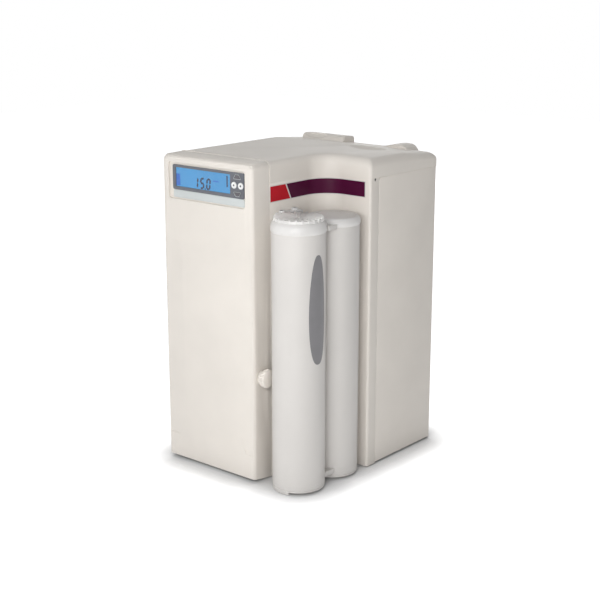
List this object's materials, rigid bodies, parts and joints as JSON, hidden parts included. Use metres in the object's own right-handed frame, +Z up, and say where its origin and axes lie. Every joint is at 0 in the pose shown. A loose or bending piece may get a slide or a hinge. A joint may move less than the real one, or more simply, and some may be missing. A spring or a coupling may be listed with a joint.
{
  "type": "laboratory water purification system",
  "caption": "Tall benchtop water purifier with a display column, a curved open bay for a twin cartridge pack, a lift-off lid and a side cleaning port.",
  "frame": {"origin": "on the bench under the middle of the object's box", "axes": "+X to the right, +Y from the display to the rear side, +Z up"},
  "size_m": [0.2862, 0.3644, 0.505],
  "materials": {
    "case_plastic": "moulded warm white, fine texture",
    "foot_rubber": "matt",
    "tag_red": "printed film",
    "tag_purple": "printed film",
    "bezel_plastic": "satin",
    "band_plastic": "satin",
    "clear_plastic": "clear",
    "screen_blue": "lit display",
    "key_white": "satin",
    "key_dark": "satin",
    "circuit_board": "coated board",
    "switch_metal": "stamped",
    "zinc_steel": "plated",
    "pack_white": "moulded, satin",
    "cap_white": "moulded, cool white",
    "label_grey": "printed film",
    "carbon": "pressed carbon",
    "resin": "beads",
    "seal_rubber": "matt",
    "socket_white": "moulded",
    "inlet_black": "moulded",
    "hose_blue": "translucent tube",
    "cylinder_white": "moulded",
    "membrane": "wound sheet",
    "clip_grey": "moulded",
    "plate_aluminium": "machined",
    "cell_amber": "stacked frames",
    "motor_paint": "enamel",
    "rotor_steel": "laminated",
    "pump_black": "moulded",
    "coil_dark": "moulded"
  },
  "bodies": {
    "case": {"base_tray": "zinc_steel", "rubber_feet": "foot_rubber", "front_cover": "case_plastic", "left_panel": "case_plastic", "bay_wall": "case_plastic", "right_panel": "case_plastic", "rear_panel": "case_plastic", "case_screws": "zinc_steel", "tag_red": "tag_red", "tag_purple": "tag_purple", "display_bezel": "bezel_plastic", "display_band": "band_plastic", "display_window": "clear_plastic", "screen": "screen_blue", "key_board": "circuit_board", "key_switches": "switch_metal", "wall_manifold": "socket_white", "manifold_plugs": "seal_rubber", "wall_peg": "socket_white", "cleaning_port": "socket_white", "hose_fittings": "socket_white", "power_inlet": "inlet_black", "inlet_contacts": "switch_metal", "power_supply": "zinc_steel", "control_board": "circuit_board", "hoses": "hose_blue", "osmosis_housing": "cylinder_white", "osmosis_cap": "socket_white", "osmosis_membrane": "membrane", "osmosis_clips": "clip_grey", "stack_plates": "plate_aluminium", "stack_cells": "cell_amber", "stack_rods": "zinc_steel", "pump_bracket": "motor_paint", "pump_motor": "motor_paint", "pump_bearings": "switch_metal", "pump_head": "pump_black", "valve_body": "coil_dark"},
    "lid": {"lid": "case_plastic"},
    "pack": {"front_tube": "pack_white", "rear_tube": "pack_white", "front_cap": "cap_white", "rear_cap": "cap_white", "front_base": "pack_white", "rear_base": "pack_white", "tube_links": "pack_white", "port_block": "pack_white", "port_seals": "seal_rubber", "foot_block": "pack_white", "tube_label": "label_grey", "carbon_block": "carbon", "resin_bed": "resin"},
    "left_key": {"key_left": "key_white"},
    "right_key": {"key_right": "key_white"},
    "upper_key": {"key_up": "key_dark"},
    "lower_key": {"key_down": "key_dark"},
    "port_cap": {"cleaning_cap": "case_plastic", "cap_seal": "seal_rubber"},
    "rotor": {"pump_rotor": "rotor_steel"},
    "plunger": {"valve_plunger": "switch_metal"}
  },
  "joints": [
    {"name": "lid_lift", "type": "slide", "parent": "case", "child": "lid", "axis": [0, 0, 1], "range_m": [0, 0.14]},
    {"name": "pack_pull", "type": "slide", "parent": "case", "child": "pack", "axis": [1, 0, 0], "range_m": [0, 0.11]},
    {"name": "left_key_press", "type": "slide", "parent": "case", "child": "left_key", "axis": [0, 1, 0], "range_m": [0, 0.0008], "stiffness_N_per_m": 1500},
    {"name": "right_key_press", "type": "slide", "parent": "case", "child": "right_key", "axis": [0, 1, 0], "range_m": [0, 0.0008], "stiffness_N_per_m": 1500},
    {"name": "upper_key_press", "type": "slide", "parent": "case", "child": "upper_key", "axis": [0, 1, 0], "range_m": [0, 0.0008], "stiffness_N_per_m": 1500},
    {"name": "lower_key_press", "type": "slide", "parent": "case", "child": "lower_key", "axis": [0, 1, 0], "range_m": [0, 0.0008], "stiffness_N_per_m": 1500},
    {"name": "port_cap_turn", "type": "hinge", "parent": "case", "child": "port_cap", "pos_m": [0.0503, -0.1608, 0.171], "axis": [1, 0, 0], "range_deg": [0, 90]},
    {"name": "rotor_spin", "type": "hinge", "parent": "case", "child": "rotor", "pos_m": [-0.0047, -0.0308, 0.068], "axis": [0, 1, 0], "continuous": true},
    {"name": "plunger_lift", "type": "slide", "parent": "case", "child": "plunger", "axis": [0, 0, 1], "range_m": [0, 0.002], "stiffness_N_per_m": 350, "springref_m": -0.002}
  ]
}
